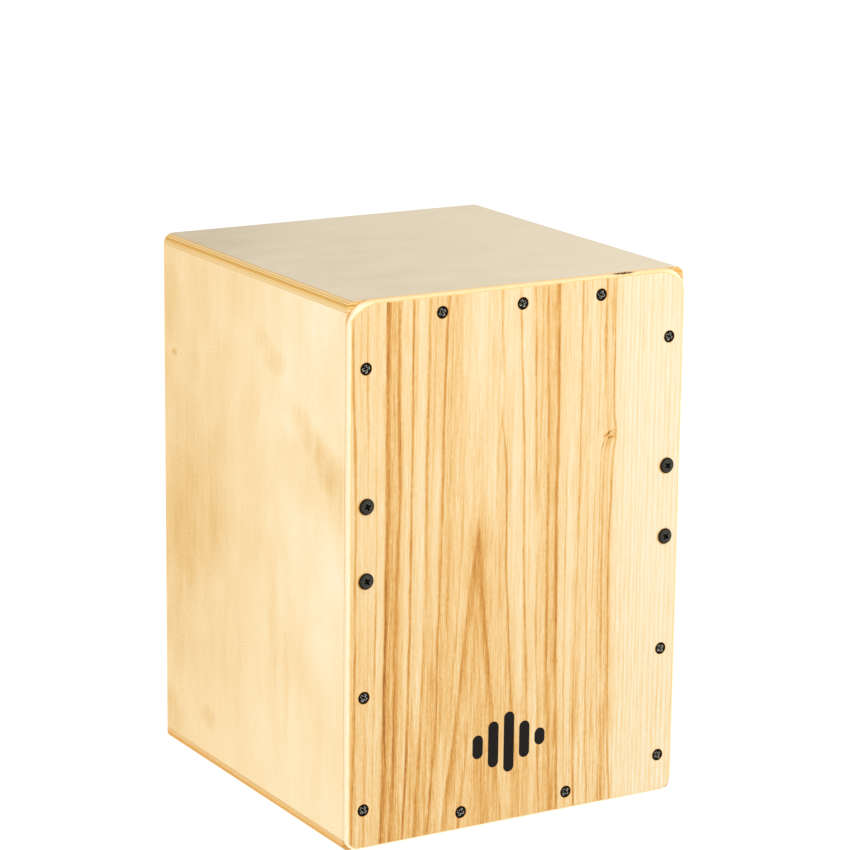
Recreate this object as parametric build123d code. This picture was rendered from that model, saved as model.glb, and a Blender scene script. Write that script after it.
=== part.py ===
from build123d import *
import os

# A cajon: a plywood box that the player sits on, with a thin front plate that
# is struck by hand and snare wires that rattle against the plate's inner face.
# Millimetres. X runs across the playing face, Y from front to back, Z up.
# The origin is on the floor, under the centre of the whole object, and the
# playing face looks towards -Y.

# ---- driving dimensions ----------------------------------------------------
BOX_WIDTH = 280.0
BOX_HEIGHT = 400.0
BODY_DEPTH = 284.0          # the box without its front plate
FRONT_THICKNESS = 4.6
PANEL_THICKNESS = 8.3
BACK_THICKNESS = 5.0
FOOT_HEIGHT = 8.0

# rounding of the wooden edges
TOP_EDGE_RADIUS = 7.8       # the long side edges of the top panel
BOTTOM_EDGE_RADIUS = 4.5    # the long side edges of the bottom panel
REAR_EDGE_RADIUS = 1.5
PLATE_TOP_CORNER = 19.5     # the front plate's outline: its two slap corners
PLATE_BOTTOM_CORNER = 11.0
PLATE_FACE_RADIUS = 3.8     # round the front plate's striking edge
PLATE_BACK_RADIUS = 0.6     # the fine gap round the front plate

SOUND_HOLE_RADIUS = 55.0
SOUND_HOLE_HEIGHT = 200.0   # above the underside of the box
SOUND_HOLE_EDGE = 0.5       # rounding of the hole's two rims

# glue battens inside the box
BATTEN_WIDTH = 12.0
FRONT_BATTEN_DEPTH = 20.0
REAR_BATTEN_DEPTH = 12.0

# snare carrier: two blocks on the side walls and a beam between them
SNARE_HEIGHT = 226.6        # beam's centre above the underside of the box
SNARE_BLOCK_WIDTH = 24.0
SNARE_BLOCK_DEPTH = 34.0
SNARE_BLOCK_HEIGHT = 90.0
BEAM_SECTION = 22.0
BEAM_SETBACK = 6.0          # gap between the front plate and the beam
BEAM_MORTISE = 8.0          # how far each end of the beam sits in its block

# one snare set: coiled wires soldered to a steel plate on top of the beam
SNARE_SET_OFFSET = 72.0     # from the middle of the box
WIRE_COUNT = 10
WIRE_SPACING = 4.5
WIRE_RADIUS = 1.2
WIRE_LENGTH = 128.0
WIRE_GAP = 0.3              # the wires stand this clear of the front plate
SNARE_PLATE_WIDTH = 52.0
SNARE_PLATE_THICKNESS = 1.0
SNARE_PLATE_DEPTH = 24.0
SNARE_PLATE_CORNER = 2.0
PLATE_SCREW_OFFSET = 18.0

# front plate screws: where they sit on the playing face. They were drilled by
# hand, so the two sides don't quite mirror each other.
COLUMN_SCREW_OFFSET = 126.0                 # side columns, from the middle
LEFT_COLUMN_HEIGHTS = (30.0, 114.0, 352.0)
RIGHT_COLUMN_HEIGHTS = (29.4, 112.8, 349.5)
TOP_ROW_HEIGHT = 386.0
TOP_ROW_OFFSETS = (-65.4, 0.5, 66.4)
BOTTOM_ROW_HEIGHT = 14.3
BOTTOM_ROW_OFFSETS = (-45.0, 45.0)
LEFT_TRUSS_OFFSET = -124.9
RIGHT_TRUSS_OFFSET = 127.0
LEFT_TRUSS_HEIGHTS = (199.5, 253.5)
RIGHT_TRUSS_HEIGHTS = (199.1, 252.8)

# small countersunk wood screws
WOOD_HEAD_RADIUS = 4.5
WOOD_SHANK_RADIUS = 2.1
WOOD_HEAD_RIM = 0.35
WOOD_RIM_EASE = 0.28
WOOD_HEAD_SUNK = 0.15
WOOD_SCREW_LENGTH = 22.0
WOOD_TIP_LENGTH = 3.0
WOOD_RECESS = (5.2, 1.3, 2.4)               # driver cross: span, arm width, depth

# large truss-head machine screws and their threaded inserts
TRUSS_HEAD_RADIUS = 5.8
TRUSS_HEAD_HEIGHT = 2.4
TRUSS_HEAD_RIM = 0.6
TRUSS_SHANK_RADIUS = 2.5
TRUSS_SCREW_LENGTH = 22.0
TRUSS_TIP_CHAMFER = 0.8
TRUSS_RECESS = (4.8, 1.25, 1.9)
INSERT_RADIUS = 3.5
INSERT_LENGTH = 12.0

# small pan-head screws: snare plates and feet
PAN_HEAD_HEIGHT = 1.7
PAN_HEAD_RIM = 0.7
PAN_RECESS_DEPTH = 1.1
PAN_RECESS_SPAN = 1.15      # times the head's radius
PAN_RECESS_ARM = 0.25       # times the recess's span
SNARE_SCREW_HEAD_RADIUS = 2.6
SNARE_SCREW_SHANK_RADIUS = 1.25
SNARE_SCREW_LENGTH = 10.0
FOOT_SCREW_HEAD_RADIUS = 3.5
FOOT_SCREW_SHANK_RADIUS = 1.75
FOOT_SCREW_LENGTH = 11.0

# rubber feet
FOOT_INSET = 35.0
FOOT_TOP_RADIUS = 12.0
FOOT_FLOOR_RADIUS = 10.5
FOOT_RECESS_RADIUS = 5.5
FOOT_RECESS_DEPTH = 5.0
FOOT_LIP_RADIUS = 1.2
WASHER_RADIUS = 5.0
WASHER_THICKNESS = 1.0

CLEARANCE = 0.2             # round a shank where it passes through freely
POINT_RADIUS = 0.2          # the blunt end of a screw's point
POINT_RATIO = 1.6           # a small screw's point, as a multiple of its radius
RECESS_BOTTOM = 0.45        # a driver recess's radius at its bottom, times its arm's width
OVERCUT = 1.0               # how far a cutting shape runs past the surface that it opens

# ---- places worked out from them -------------------------------------------
TOTAL_DEPTH = TRUSS_HEAD_HEIGHT + FRONT_THICKNESS + BODY_DEPTH
FACE_Y = -TOTAL_DEPTH / 2 + TRUSS_HEAD_HEIGHT     # the playing face
BODY_Y = FACE_Y + FRONT_THICKNESS                 # front rim of the body
REAR_Y = BODY_Y + BODY_DEPTH
HALF_WIDTH = BOX_WIDTH / 2
INNER_X = HALF_WIDTH - PANEL_THICKNESS
BASE_Z = FOOT_HEIGHT                              # underside of the box
TOP_Z = BASE_Z + BOX_HEIGHT
FLOOR_Z = BASE_Z + PANEL_THICKNESS                # inside, bottom
CEILING_Z = TOP_Z - PANEL_THICKNESS               # inside, top
BATTEN_X = INNER_X - BATTEN_WIDTH
LOW_BATTEN_Z = FLOOR_Z + BATTEN_WIDTH
HIGH_BATTEN_Z = CEILING_Z - BATTEN_WIDTH
BLOCK_LOW_Z = BASE_Z + SNARE_HEIGHT - SNARE_BLOCK_HEIGHT / 2
BLOCK_HIGH_Z = BLOCK_LOW_Z + SNARE_BLOCK_HEIGHT
BEAM_TOP_Z = BASE_Z + SNARE_HEIGHT + BEAM_SECTION / 2

parts = {}


def slab(x_low, x_high, y_low, y_high, z_low, z_high):
    """A straight block between two corners."""
    centre = Pos((x_low + x_high) / 2, (y_low + y_high) / 2, (z_low + z_high) / 2)
    return centre * Box(x_high - x_low, y_high - y_low, z_high - z_low)


def rod(radius, z_low, z_high):
    """A round bar along Z, between two heights."""
    return Pos(0, 0, (z_low + z_high) / 2) * Cylinder(radius, z_high - z_low)


def into_front(x, height):
    """Turns a shape drawn head-up along Z so that its head looks out of the playing face."""
    return Pos(x, FACE_Y, BASE_Z + height) * Rot(90, 0, 0)


# ---- screws, drawn head-up with the bearing surface at z = 0 ----------------
def cross_recess(span, arm, depth, surface, angle):
    """A tapering cross-shaped driver recess that opens at the height called surface."""
    wings = Box(span, arm, 2 * depth) + Box(arm, span, 2 * depth)
    cone = Cone(arm * RECESS_BOTTOM, span / 2, depth)
    recess = (Pos(0, 0, surface) * wings) & (Pos(0, 0, surface - depth / 2) * cone)
    mouth = Pos(0, 0, surface + depth / 2) * (Box(span, arm, depth) + Box(arm, span, depth))
    return Rot(0, 0, angle) * (recess + mouth)


def wood_screw(angle):
    """A countersunk wood screw: flat head, cone, plain shank and a point."""
    cone_height = WOOD_HEAD_RADIUS - WOOD_SHANK_RADIUS
    rim_low = -WOOD_HEAD_SUNK - WOOD_HEAD_RIM
    rim = rod(WOOD_HEAD_RADIUS, rim_low, -WOOD_HEAD_SUNK)
    rim = fillet(rim.edges().group_by(Axis.Z)[-1], WOOD_RIM_EASE)
    cone = Pos(0, 0, rim_low - cone_height / 2) * Cone(WOOD_SHANK_RADIUS, WOOD_HEAD_RADIUS, cone_height)
    tip_z = WOOD_TIP_LENGTH - WOOD_SCREW_LENGTH
    shank = rod(WOOD_SHANK_RADIUS, tip_z, rim_low - cone_height)
    tip = Pos(0, 0, tip_z - WOOD_TIP_LENGTH / 2) * Cone(POINT_RADIUS, WOOD_SHANK_RADIUS, WOOD_TIP_LENGTH)
    return rim + cone + shank + tip - cross_recess(*WOOD_RECESS, -WOOD_HEAD_SUNK, angle)


def wood_screw_seat():
    """The countersunk clearance hole that a wood screw leaves in the front plate."""
    cone_height = WOOD_HEAD_RADIUS - WOOD_SHANK_RADIUS
    rim_low = -WOOD_HEAD_SUNK - WOOD_HEAD_RIM
    mouth = rod(WOOD_HEAD_RADIUS, rim_low, OVERCUT)
    cone = Pos(0, 0, rim_low - cone_height / 2) * Cone(WOOD_SHANK_RADIUS, WOOD_HEAD_RADIUS, cone_height)
    return mouth + cone + rod(WOOD_SHANK_RADIUS + CLEARANCE, -FRONT_THICKNESS - OVERCUT, rim_low)


def wood_screw_pilot():
    """The pilot hole of a wood screw in the batten behind the plate."""
    tip_z = WOOD_TIP_LENGTH - WOOD_SCREW_LENGTH
    tip = Pos(0, 0, tip_z - WOOD_TIP_LENGTH / 2) * Cone(POINT_RADIUS, WOOD_SHANK_RADIUS, WOOD_TIP_LENGTH)
    return rod(WOOD_SHANK_RADIUS, tip_z, 0) + tip


def dome(radius, height, rim):
    """A low domed head that stands on z = 0, with a short upright rim."""
    rise = height - rim
    sphere_radius = (radius ** 2 + rise ** 2) / (2 * rise)
    return rod(radius, 0, height) & (Pos(0, 0, height - sphere_radius) * Sphere(sphere_radius))


def truss_screw(angle):
    """A large machine screw with a wide, low, domed head."""
    head = dome(TRUSS_HEAD_RADIUS, TRUSS_HEAD_HEIGHT, TRUSS_HEAD_RIM)
    shank = rod(TRUSS_SHANK_RADIUS, -TRUSS_SCREW_LENGTH, 0)
    shank = chamfer(shank.edges().group_by(Axis.Z)[0], TRUSS_TIP_CHAMFER)
    return head + shank - cross_recess(*TRUSS_RECESS, TRUSS_HEAD_HEIGHT, angle)


def pan_screw(head_radius, shank_radius, length, angle):
    """A small pan-head screw with a pointed shank."""
    head = dome(head_radius, PAN_HEAD_HEIGHT, PAN_HEAD_RIM)
    point = shank_radius * POINT_RATIO
    shank = rod(shank_radius, point - length, 0)
    tip = Pos(0, 0, point / 2 - length) * Cone(POINT_RADIUS, shank_radius, point)
    span = head_radius * PAN_RECESS_SPAN
    recess = cross_recess(span, span * PAN_RECESS_ARM, PAN_RECESS_DEPTH, PAN_HEAD_HEIGHT, angle)
    return head + shank + tip - recess


def pan_screw_pilot(shank_radius, length):
    """The blind hole that a pan-head screw fills, point included."""
    point = shank_radius * POINT_RATIO
    tip = Pos(0, 0, point / 2 - length) * Cone(POINT_RADIUS, shank_radius, point)
    return rod(shank_radius, point - length, OVERCUT) + tip


# ---- where the front screws go ----------------------------------------------
wood_screw_places = []
for height in LEFT_COLUMN_HEIGHTS:
    wood_screw_places.append((-COLUMN_SCREW_OFFSET, height))
for height in RIGHT_COLUMN_HEIGHTS:
    wood_screw_places.append((COLUMN_SCREW_OFFSET, height))
for x in TOP_ROW_OFFSETS:
    wood_screw_places.append((x, TOP_ROW_HEIGHT))
for x in BOTTOM_ROW_OFFSETS:
    wood_screw_places.append((x, BOTTOM_ROW_HEIGHT))

truss_screw_places = []
for height in LEFT_TRUSS_HEIGHTS:
    truss_screw_places.append((LEFT_TRUSS_OFFSET, height))
for height in RIGHT_TRUSS_HEIGHTS:
    truss_screw_places.append((RIGHT_TRUSS_OFFSET, height))

foot_places = []
for x in (FOOT_INSET - HALF_WIDTH, HALF_WIDTH - FOOT_INSET):
    for y in (FACE_Y + FOOT_INSET, REAR_Y - FOOT_INSET):
        foot_places.append((x, y))


# ---- the four outer panels ----------------------------------------------------
def cap_panel(z_low, outer_is_top, edge_radius):
    """The top or bottom panel, which lies over the ends of the side panels."""
    z_high = z_low + PANEL_THICKNESS
    panel = slab(-HALF_WIDTH, HALF_WIDTH, BODY_Y, REAR_Y, z_low, z_high)
    outer = panel.edges().group_by(Axis.Z)[-1 if outer_is_top else 0]
    panel = fillet(outer.filter_by(Axis.Y), edge_radius)
    rear = panel.edges().group_by(Axis.Y)[-1].filter_by(Axis.X)
    rear_outer = rear.group_by(Axis.Z)[-1 if outer_is_top else 0]
    return fillet(rear_outer, REAR_EDGE_RADIUS)


def side_panel(side):
    """The left (side = -1) or right (side = 1) wall."""
    x_low, x_high = sorted((side * INNER_X, side * HALF_WIDTH))
    panel = slab(x_low, x_high, BODY_Y, REAR_Y, FLOOR_Z, CEILING_Z)
    upright = panel.edges().filter_by(Axis.Z).group_by(Axis.Y)[-1]
    outer = upright.sort_by(Axis.X)[0 if side < 0 else -1]
    return fillet(outer, REAR_EDGE_RADIUS)


parts["top_panel"] = cap_panel(CEILING_Z, True, TOP_EDGE_RADIUS)

bottom_panel = cap_panel(BASE_Z, False, BOTTOM_EDGE_RADIUS)
for x, y in foot_places:
    screw_depth = FOOT_SCREW_LENGTH - WASHER_THICKNESS - (FOOT_HEIGHT - FOOT_RECESS_DEPTH)
    pilot = pan_screw_pilot(FOOT_SCREW_SHANK_RADIUS, screw_depth)
    bottom_panel -= Pos(x, y, BASE_Z) * Rot(180, 0, 0) * pilot
parts["bottom_panel"] = bottom_panel

parts["left_side_panel"] = side_panel(-1)
parts["right_side_panel"] = side_panel(1)

# ---- back panel with its sound hole, let in flush between the other panels ------
back_panel = slab(-INNER_X, INNER_X, REAR_Y - BACK_THICKNESS, REAR_Y, FLOOR_Z, CEILING_Z)
hole_place = Pos(0, REAR_Y - BACK_THICKNESS / 2, BASE_Z + SOUND_HOLE_HEIGHT) * Rot(90, 0, 0)
back_panel -= hole_place * Cylinder(SOUND_HOLE_RADIUS, 2 * BACK_THICKNESS)
parts["back_panel"] = fillet(back_panel.edges().filter_by(GeomType.CIRCLE), SOUND_HOLE_EDGE)

# ---- front plate: the thin striking surface ---------------------------------------
plate_outline = Rectangle(BOX_WIDTH, BOX_HEIGHT)
plate_outline = fillet(plate_outline.vertices().group_by(Axis.Y)[-1], PLATE_TOP_CORNER)
plate_outline = fillet(plate_outline.vertices().group_by(Axis.Y)[0], PLATE_BOTTOM_CORNER)
front_plate = extrude(plate_outline, amount=-FRONT_THICKNESS)
front_plate = fillet(front_plate.edges().group_by(Axis.Z)[-1], PLATE_FACE_RADIUS)
front_plate = fillet(front_plate.edges().group_by(Axis.Z)[0], PLATE_BACK_RADIUS)
front_plate = into_front(0, BOX_HEIGHT / 2) * front_plate
for x, height in wood_screw_places:
    front_plate -= into_front(x, height) * wood_screw_seat()
for x, height in truss_screw_places:
    front_plate -= into_front(x, height) * rod(TRUSS_SHANK_RADIUS + CLEARANCE, -2 * FRONT_THICKNESS, OVERCUT)
parts["front_plate"] = front_plate

# ---- glue battens ---------------------------------------------------------------------
front_batten_end = BODY_Y + FRONT_BATTEN_DEPTH
rear_batten_end = REAR_Y - BACK_THICKNESS
rear_batten_start = rear_batten_end - REAR_BATTEN_DEPTH

front_battens = {
    "front_batten_top": (-INNER_X, INNER_X, HIGH_BATTEN_Z, CEILING_Z),
    "front_batten_bottom": (-INNER_X, INNER_X, FLOOR_Z, LOW_BATTEN_Z),
    "front_batten_left_lower": (-INNER_X, -BATTEN_X, LOW_BATTEN_Z, BLOCK_LOW_Z),
    "front_batten_left_upper": (-INNER_X, -BATTEN_X, BLOCK_HIGH_Z, HIGH_BATTEN_Z),
    "front_batten_right_lower": (BATTEN_X, INNER_X, LOW_BATTEN_Z, BLOCK_LOW_Z),
    "front_batten_right_upper": (BATTEN_X, INNER_X, BLOCK_HIGH_Z, HIGH_BATTEN_Z),
}
for name, (x_low, x_high, z_low, z_high) in front_battens.items():
    batten = slab(x_low, x_high, BODY_Y, front_batten_end, z_low, z_high)
    for x, height in wood_screw_places:
        if x_low < x < x_high and z_low < BASE_Z + height < z_high:
            batten -= into_front(x, height) * wood_screw_pilot()
    parts[name] = batten

rear_battens = {
    "rear_batten_top": (-INNER_X, INNER_X, HIGH_BATTEN_Z, CEILING_Z),
    "rear_batten_bottom": (-INNER_X, INNER_X, FLOOR_Z, LOW_BATTEN_Z),
    "rear_batten_left": (-INNER_X, -BATTEN_X, LOW_BATTEN_Z, HIGH_BATTEN_Z),
    "rear_batten_right": (BATTEN_X, INNER_X, LOW_BATTEN_Z, HIGH_BATTEN_Z),
}
for name, (x_low, x_high, z_low, z_high) in rear_battens.items():
    parts[name] = slab(x_low, x_high, rear_batten_start, rear_batten_end, z_low, z_high)

# ---- snare carrier ----------------------------------------------------------------------
beam_y = BODY_Y + BEAM_SETBACK
beam_half = INNER_X - SNARE_BLOCK_WIDTH + BEAM_MORTISE
beam = slab(-beam_half, beam_half, beam_y, beam_y + BEAM_SECTION, BEAM_TOP_Z - BEAM_SECTION, BEAM_TOP_Z)

for name, side in (("snare_block_left", -1), ("snare_block_right", 1)):
    x_low, x_high = sorted((side * (INNER_X - SNARE_BLOCK_WIDTH), side * INNER_X))
    block = slab(x_low, x_high, BODY_Y, BODY_Y + SNARE_BLOCK_DEPTH, BLOCK_LOW_Z, BLOCK_HIGH_Z)
    block -= beam
    for x, height in truss_screw_places:
        if x_low < x < x_high:
            place = into_front(x, height)
            block -= place * rod(INSERT_RADIUS, -FRONT_THICKNESS - INSERT_LENGTH, 0)
            block -= place * rod(TRUSS_SHANK_RADIUS, -TRUSS_SCREW_LENGTH, 0)
    parts[name] = block

inserts = []
for x, height in truss_screw_places:
    insert = rod(INSERT_RADIUS, -FRONT_THICKNESS - INSERT_LENGTH, -FRONT_THICKNESS)
    insert -= rod(TRUSS_SHANK_RADIUS, -TRUSS_SCREW_LENGTH, 0)
    inserts.append(into_front(x, height) * insert)
parts["threaded_inserts"] = Compound(children=inserts)

# ---- snare sets ---------------------------------------------------------------------------
wire_y = BODY_Y + WIRE_GAP + WIRE_RADIUS
plate_y = BODY_Y + WIRE_GAP
plate_top_z = BEAM_TOP_Z + SNARE_PLATE_THICKNESS
snare_screw_y = beam_y + BEAM_SECTION / 2
snare_screws = []
for name, side in (("left", -1), ("right", 1)):
    middle = side * SNARE_SET_OFFSET
    plate = slab(
        middle - SNARE_PLATE_WIDTH / 2, middle + SNARE_PLATE_WIDTH / 2,
        plate_y, plate_y + SNARE_PLATE_DEPTH, BEAM_TOP_Z, plate_top_z)
    plate = fillet(plate.edges().filter_by(Axis.Z), SNARE_PLATE_CORNER)
    for offset in (-PLATE_SCREW_OFFSET, PLATE_SCREW_OFFSET):
        x = middle + offset
        plate -= Pos(x, snare_screw_y, 0) * rod(SNARE_SCREW_SHANK_RADIUS + CLEARANCE, BEAM_TOP_Z - OVERCUT, TOP_Z)
        place = Pos(x, snare_screw_y, plate_top_z)
        screw = pan_screw(SNARE_SCREW_HEAD_RADIUS, SNARE_SCREW_SHANK_RADIUS, SNARE_SCREW_LENGTH, offset + middle)
        snare_screws.append(place * screw)
        beam -= place * pan_screw_pilot(SNARE_SCREW_SHANK_RADIUS, SNARE_SCREW_LENGTH)
    parts["snare_plate_" + name] = plate

    wires = []
    for index in range(WIRE_COUNT):
        x = middle + (index - (WIRE_COUNT - 1) / 2) * WIRE_SPACING
        wires.append(Pos(x, wire_y, 0) * rod(WIRE_RADIUS, plate_top_z, plate_top_z + WIRE_LENGTH))
    parts["snare_wires_" + name] = Compound(children=wires)

parts["snare_beam"] = beam
parts["snare_plate_screws"] = Compound(children=snare_screws)

# ---- front screws: each was driven home at its own angle -------------------------------------
WOOD_SCREW_TURNS = (20, 10, 30, 65, 40, 55, 80, 5, 35, 70, 25)
TRUSS_SCREW_TURNS = (35, 38, 52, 47)

front_screws = []
for (x, height), turn in zip(wood_screw_places, WOOD_SCREW_TURNS):
    front_screws.append(into_front(x, height) * wood_screw(turn))
parts["front_plate_screws"] = Compound(children=front_screws)

truss_screws = []
for (x, height), turn in zip(truss_screw_places, TRUSS_SCREW_TURNS):
    truss_screws.append(into_front(x, height) * truss_screw(turn))
parts["snare_block_screws"] = Compound(children=truss_screws)


# ---- feet: moulded rubber, held by a screw and a steel washer in a recess ----------------------
def rubber_foot():
    body = Pos(0, 0, FOOT_HEIGHT / 2) * Cone(FOOT_FLOOR_RADIUS, FOOT_TOP_RADIUS, FOOT_HEIGHT)
    body = fillet(body.edges().group_by(Axis.Z)[0], FOOT_LIP_RADIUS)
    body -= rod(FOOT_RECESS_RADIUS, -OVERCUT, FOOT_RECESS_DEPTH)
    return body - rod(FOOT_SCREW_SHANK_RADIUS + CLEARANCE, -OVERCUT, FOOT_HEIGHT + OVERCUT)


foot_names = ("foot_front_left", "foot_rear_left", "foot_front_right", "foot_rear_right")
washers = []
foot_screws = []
for name, (x, y) in zip(foot_names, foot_places):
    parts[name] = Pos(x, y, 0) * rubber_foot()
    washer_low = FOOT_RECESS_DEPTH - WASHER_THICKNESS
    washer = rod(WASHER_RADIUS, washer_low, FOOT_RECESS_DEPTH)
    washer -= rod(FOOT_SCREW_SHANK_RADIUS + CLEARANCE, 0, FOOT_HEIGHT)
    washers.append(Pos(x, y, 0) * washer)
    screw = pan_screw(FOOT_SCREW_HEAD_RADIUS, FOOT_SCREW_SHANK_RADIUS, FOOT_SCREW_LENGTH, x + y)
    foot_screws.append(Pos(x, y, washer_low) * Rot(180, 0, 0) * screw)
parts["foot_washers"] = Compound(children=washers)
parts["foot_screws"] = Compound(children=foot_screws)

# ---- write one file for each node ---------------------------------------------------------------
os.makedirs("parts", exist_ok=True)
for name, shape in parts.items():
    export_step(shape, os.path.join("parts", name + ".step"))
    print(name, round(shape.volume, 1))
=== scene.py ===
import math
import random
from collections import namedtuple
from functools import reduce

import bmesh
import bpy
from mathutils import Matrix, Vector


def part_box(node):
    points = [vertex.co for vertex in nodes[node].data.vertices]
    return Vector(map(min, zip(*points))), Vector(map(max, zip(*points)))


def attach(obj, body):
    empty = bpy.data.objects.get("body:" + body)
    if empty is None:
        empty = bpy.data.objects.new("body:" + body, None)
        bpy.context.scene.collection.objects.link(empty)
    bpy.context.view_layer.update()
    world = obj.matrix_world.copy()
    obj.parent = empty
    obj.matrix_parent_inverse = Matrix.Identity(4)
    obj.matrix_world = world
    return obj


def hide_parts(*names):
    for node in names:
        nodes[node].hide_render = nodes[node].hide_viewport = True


# A cajon, dressed around its CAD frame: veneers, plywood edges, screws, snares.
# The scene is in metres. The wood materials work in millimetres, measured from
# the frame: across from the middle, in from the playing face, up from the
# underside of the wooden box. Colours written 0 to 255 are sRGB.

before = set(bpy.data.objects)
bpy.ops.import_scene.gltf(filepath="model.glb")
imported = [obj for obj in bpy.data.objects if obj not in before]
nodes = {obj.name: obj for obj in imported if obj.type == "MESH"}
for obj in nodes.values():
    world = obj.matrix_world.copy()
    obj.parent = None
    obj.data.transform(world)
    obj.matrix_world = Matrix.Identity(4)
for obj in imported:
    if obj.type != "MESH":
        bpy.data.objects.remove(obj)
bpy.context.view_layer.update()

MM = 0.001
PERCENT = 100
WHITE = (1.0, 1.0, 1.0)
# for each face: how much white sheen its lacquer throws back, and how brightly it is lit
FRONT_SEEN = (0.045, 1.14)
SIDE_SEEN = (0.085, 0.893)
TOP_SEEN = (0.091, 0.876)
plate_low, plate_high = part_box("front_plate")
FACE_Y = plate_low.y
BASE_Z = plate_low.z
BOX_HEIGHT_MM = (plate_high.z - plate_low.z) / MM
HALF_WIDTH_MM = plate_high.x / MM
REAR_MM = (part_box("top_panel")[1].y - FACE_Y) / MM
PLATE_MM = (plate_high.y - plate_low.y) / MM


# ---- numbers and colours inside a material ----
class Wire:
    """A value inside a material. Arithmetic on it adds math nodes."""

    def __init__(self, tree, socket):
        self.tree = tree
        self.socket = socket

    def math(self, operation, *others):
        node = self.tree.nodes.new("ShaderNodeMath")
        node.operation = operation
        for slot, item in zip(node.inputs, (self, *others)):
            feed(slot, item)
        return Wire(self.tree, node.outputs[0])

    def __add__(self, other):
        return self.math("ADD", other)

    def __sub__(self, other):
        return self.math("SUBTRACT", other)

    def __mul__(self, other):
        return self.math("MULTIPLY", other)

    def __truediv__(self, other):
        return self.math("DIVIDE", other)

    def __rsub__(self, other):
        return self * -1.0 + other


def feed(slot, item):
    """Puts a number, a colour or a wire into a node's input."""
    if isinstance(item, Wire):
        item.tree.links.new(item.socket, slot)
    elif isinstance(item, tuple) and len(item) == 3 and slot.type == "RGBA":
        slot.default_value = (*item, 1.0)
    else:
        slot.default_value = item


def smooth(value, low, high):
    """0 below low, 1 above high, and smooth between; low may be the higher one."""
    node = value.tree.nodes.new("ShaderNodeMapRange")
    node.interpolation_type = "SMOOTHSTEP"
    feed(node.inputs["Value"], value)
    node.inputs["From Min"].default_value = low
    node.inputs["From Max"].default_value = high
    return Wire(value.tree, node.outputs["Result"])


def curve(value, points, unit=1.0):
    """A smooth curve through points (value, result), with the results in parts of unit."""
    node = value.tree.nodes.new("ShaderNodeFloatCurve")
    node.mapping.use_clip = False
    node.mapping.extend = "HORIZONTAL"
    line = node.mapping.curves[0]
    ordered = sorted(points)
    for _ in range(len(ordered) - 2):
        line.points.new(0.0, 0.0)
    for point, (place, result) in zip(line.points, ordered):
        point.location = (place, result / unit)
        point.handle_type = "AUTO_CLAMPED"
    node.mapping.update()
    feed(node.inputs["Value"], value)
    return Wire(value.tree, node.outputs[0])


def ramp(value, stops, seen=SIDE_SEEN):
    """A colour for a value, from stops (value, sRGB colour as it shows) in rising order."""
    low, high = stops[0][0], stops[-1][0]
    node = value.tree.nodes.new("ShaderNodeValToRGB")
    elements = node.color_ramp.elements
    while len(elements) < len(stops):
        elements.new(1.0)
    for element, (place, colour) in zip(elements, stops):
        element.position = (place - low) / (high - low)
        element.color = (*under_lacquer(colour, seen), 1.0)
    feed(node.inputs[0], (value - low) / (high - low))
    return Wire(value.tree, node.outputs[0])


def linear(colour):
    """An sRGB colour of 0 to 255 as the light values that a shader uses."""
    parts = [part / 255 for part in colour]
    return tuple(p / 12.92 if p <= 0.04045 else ((p + 0.055) / 1.055) ** 2.4 for p in parts)


def under_lacquer(colour, seen):
    """The base colour of wood that shows as this sRGB colour, sheen and light included."""
    sheen, light = seen
    return tuple(max(part - sheen, 0.003) / light for part in linear(colour))


def mix(factor, first, second, blend="MIX"):
    """first where factor is 0 and second where it is 1, as colours."""
    node = factor.tree.nodes.new("ShaderNodeMix")
    node.data_type = "RGBA"
    node.blend_type = blend
    feed(node.inputs[0], factor)
    feed(node.inputs[6], first)
    feed(node.inputs[7], second)
    return Wire(factor.tree, node.outputs[2])


def lerp(factor, first, second):
    """first where factor is 0 and second where it is 1, as numbers."""
    return (second - first) * factor + first


def noise(x, y, z=0.0, detail=2.0, roughness=0.5, seed=0.0):
    """Noise from 0 to 1, whose lumps are about one unit across."""
    place = x.tree.nodes.new("ShaderNodeCombineXYZ")
    for slot, item in zip(place.inputs, (x, y, z)):
        feed(slot, item)
    node = x.tree.nodes.new("ShaderNodeTexNoise")
    node.noise_dimensions = "4D"
    x.tree.links.new(place.outputs[0], node.inputs["Vector"])
    node.inputs["W"].default_value = seed
    node.inputs["Scale"].default_value = 1.0
    node.inputs["Detail"].default_value = detail
    node.inputs["Roughness"].default_value = roughness
    return Wire(x.tree, node.outputs["Fac"])


def swing(*place, **kind):
    """Noise from -0.5 to 0.5."""
    return noise(*place, **kind) - 0.5


def stretched(place, along, long, short):
    """A place for noise whose lumps are long along one axis and short along the others."""
    return tuple(place[axis] / (long if axis == along else short) for axis in "xyz")


def new_material(name):
    """A material with one Principled shader. Returns it, its tree and its shader."""
    material = bpy.data.materials.new(name)
    material.use_nodes = True
    tree = material.node_tree
    return material, tree, tree.nodes["Principled BSDF"]


def axes(tree):
    """The three coordinates of a point, in metres."""
    place = tree.nodes.new("ShaderNodeTexCoord")
    split = tree.nodes.new("ShaderNodeSeparateXYZ")
    tree.links.new(place.outputs["Object"], split.inputs[0])
    return tuple(Wire(tree, socket) for socket in split.outputs)


def axes_mm(tree):
    """The three coordinates of a point, in millimetres."""
    return tuple(axis * (1 / MM) for axis in axes(tree))


def box_axes(tree):
    """Millimetres across from the middle, in from the playing face, up from the underside."""
    x, y, z = axes(tree)
    return x * (1 / MM), (y - FACE_Y) * (1 / MM), (z - BASE_Z) * (1 / MM)


def painted(tree, name):
    """A number that a mesh carries on its points."""
    node = tree.nodes.new("ShaderNodeAttribute")
    node.attribute_name = name
    return Wire(tree, node.outputs["Fac"])


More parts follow.
